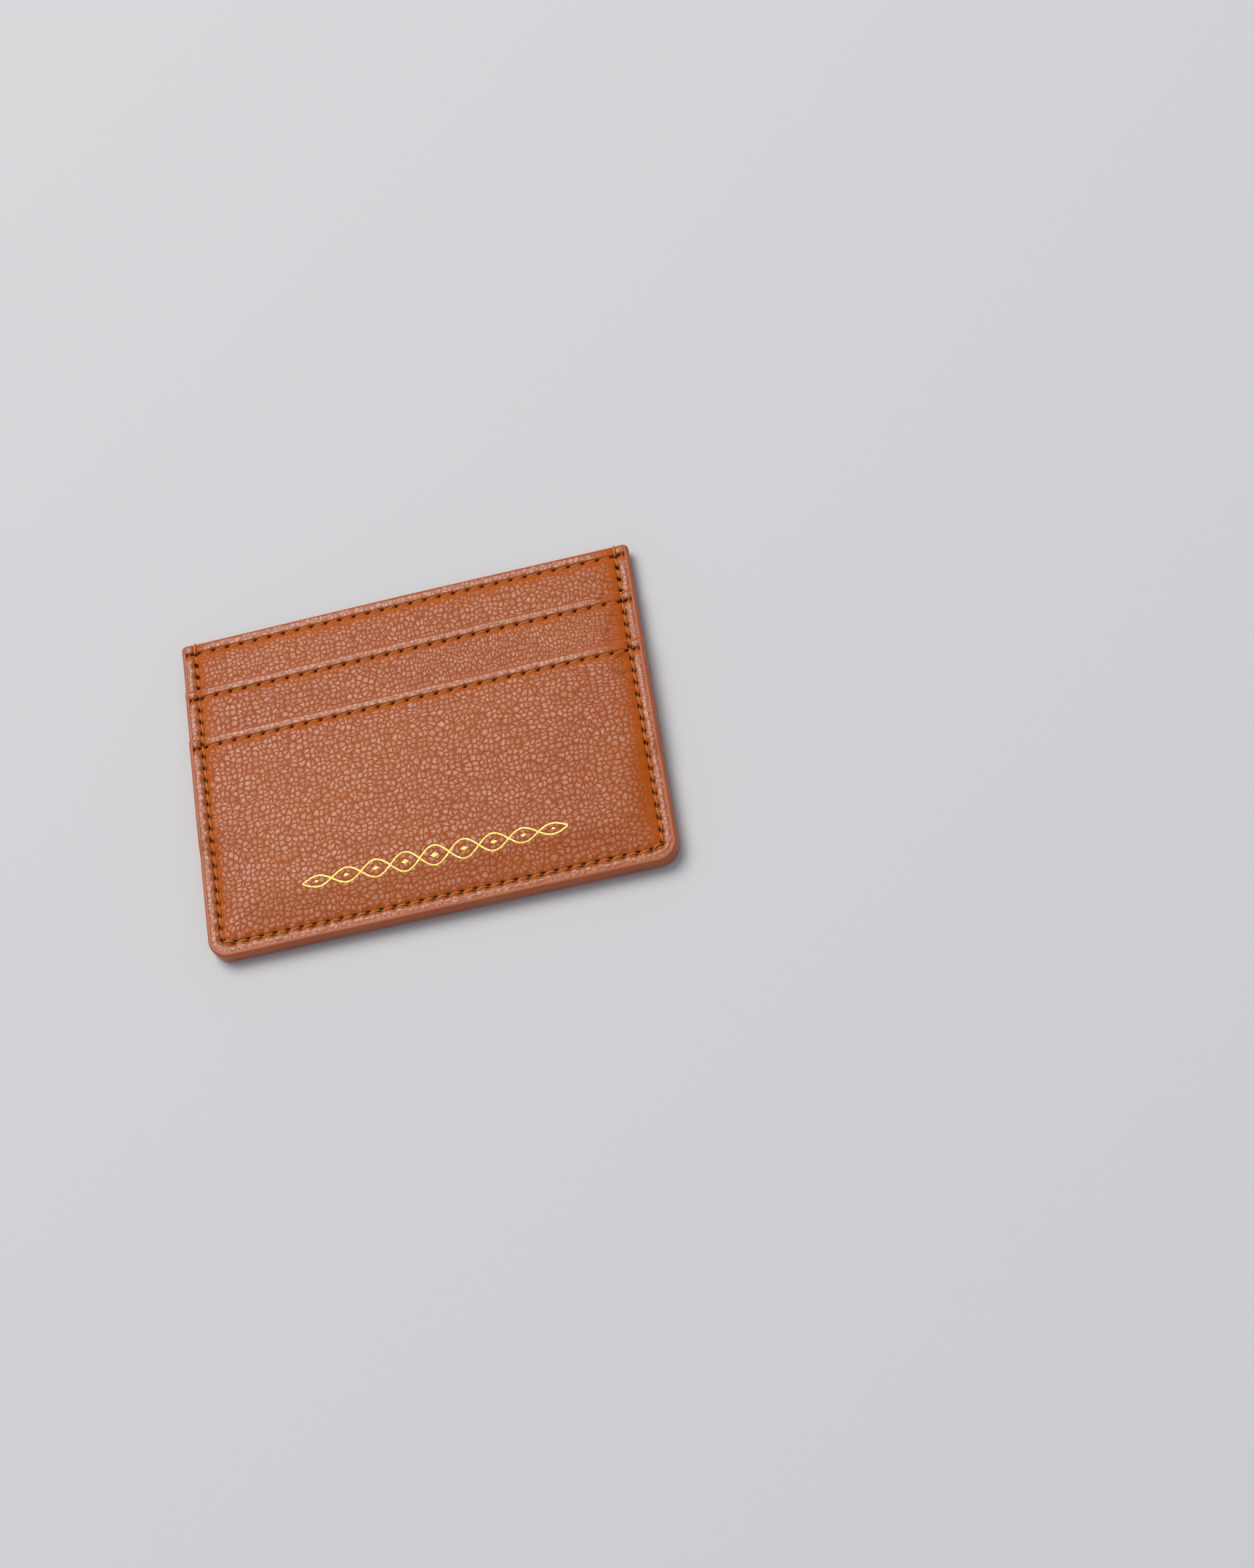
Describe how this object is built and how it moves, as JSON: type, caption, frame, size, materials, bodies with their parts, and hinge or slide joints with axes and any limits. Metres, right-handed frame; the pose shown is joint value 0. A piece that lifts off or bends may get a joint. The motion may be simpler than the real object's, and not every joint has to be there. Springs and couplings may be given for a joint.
{
  "type": "card holder",
  "caption": "Flat pebbled-leather card holder with stepped card slots on both faces, a centre pocket, stitched edges and painted rims.",
  "frame": {"origin": "middle of the outline, on the surface that the rear face rests on", "axes": "+X along the width, +Y from the closed bottom edge to the mouths, +Z out of the front face"},
  "size_m": [0.1, 0.075, 0.0043],
  "materials": {
    "pebbled_leather": "pebbled, soft sheen",
    "pocket_cloth": "matt twill",
    "stiffener_board": "matt fibre board",
    "sewing_thread": "waxed twisted thread",
    "edge_paint": "satin edge paint",
    "gold_foil": "blocked metal foil"
  },
  "bodies": {
    "root": {"front_lower_pocket": "pebbled_leather", "front_lower_pocket_lining": "pocket_cloth", "front_upper_pocket": "pebbled_leather", "front_upper_pocket_backing": "pocket_cloth", "front_base_panel": "pebbled_leather", "front_stiffener": "stiffener_board", "front_lining": "pocket_cloth", "rear_lining": "pocket_cloth", "rear_stiffener": "stiffener_board", "rear_base_panel": "pebbled_leather", "rear_upper_pocket_backing": "pocket_cloth", "rear_upper_pocket": "pebbled_leather", "rear_lower_pocket_lining": "pocket_cloth", "rear_lower_pocket": "pebbled_leather", "front_perimeter_thread": "sewing_thread", "rear_perimeter_thread": "sewing_thread", "front_top_edge_thread": "sewing_thread", "rear_top_edge_thread": "sewing_thread", "front_upper_slot_thread": "sewing_thread", "rear_upper_slot_thread": "sewing_thread", "front_lower_slot_thread": "sewing_thread", "rear_lower_slot_thread": "sewing_thread", "front_pocket_bottom_thread": "sewing_thread", "rear_pocket_bottom_thread": "sewing_thread", "perimeter_edge_paint": "edge_paint", "front_top_edge_paint": "edge_paint", "rear_top_edge_paint": "edge_paint", "front_upper_slot_edge_paint": "edge_paint", "rear_upper_slot_edge_paint": "edge_paint", "front_lower_slot_edge_paint": "edge_paint", "rear_lower_slot_edge_paint": "edge_paint", "front_foil_ornament": "gold_foil"}
  },
  "joints": []
}
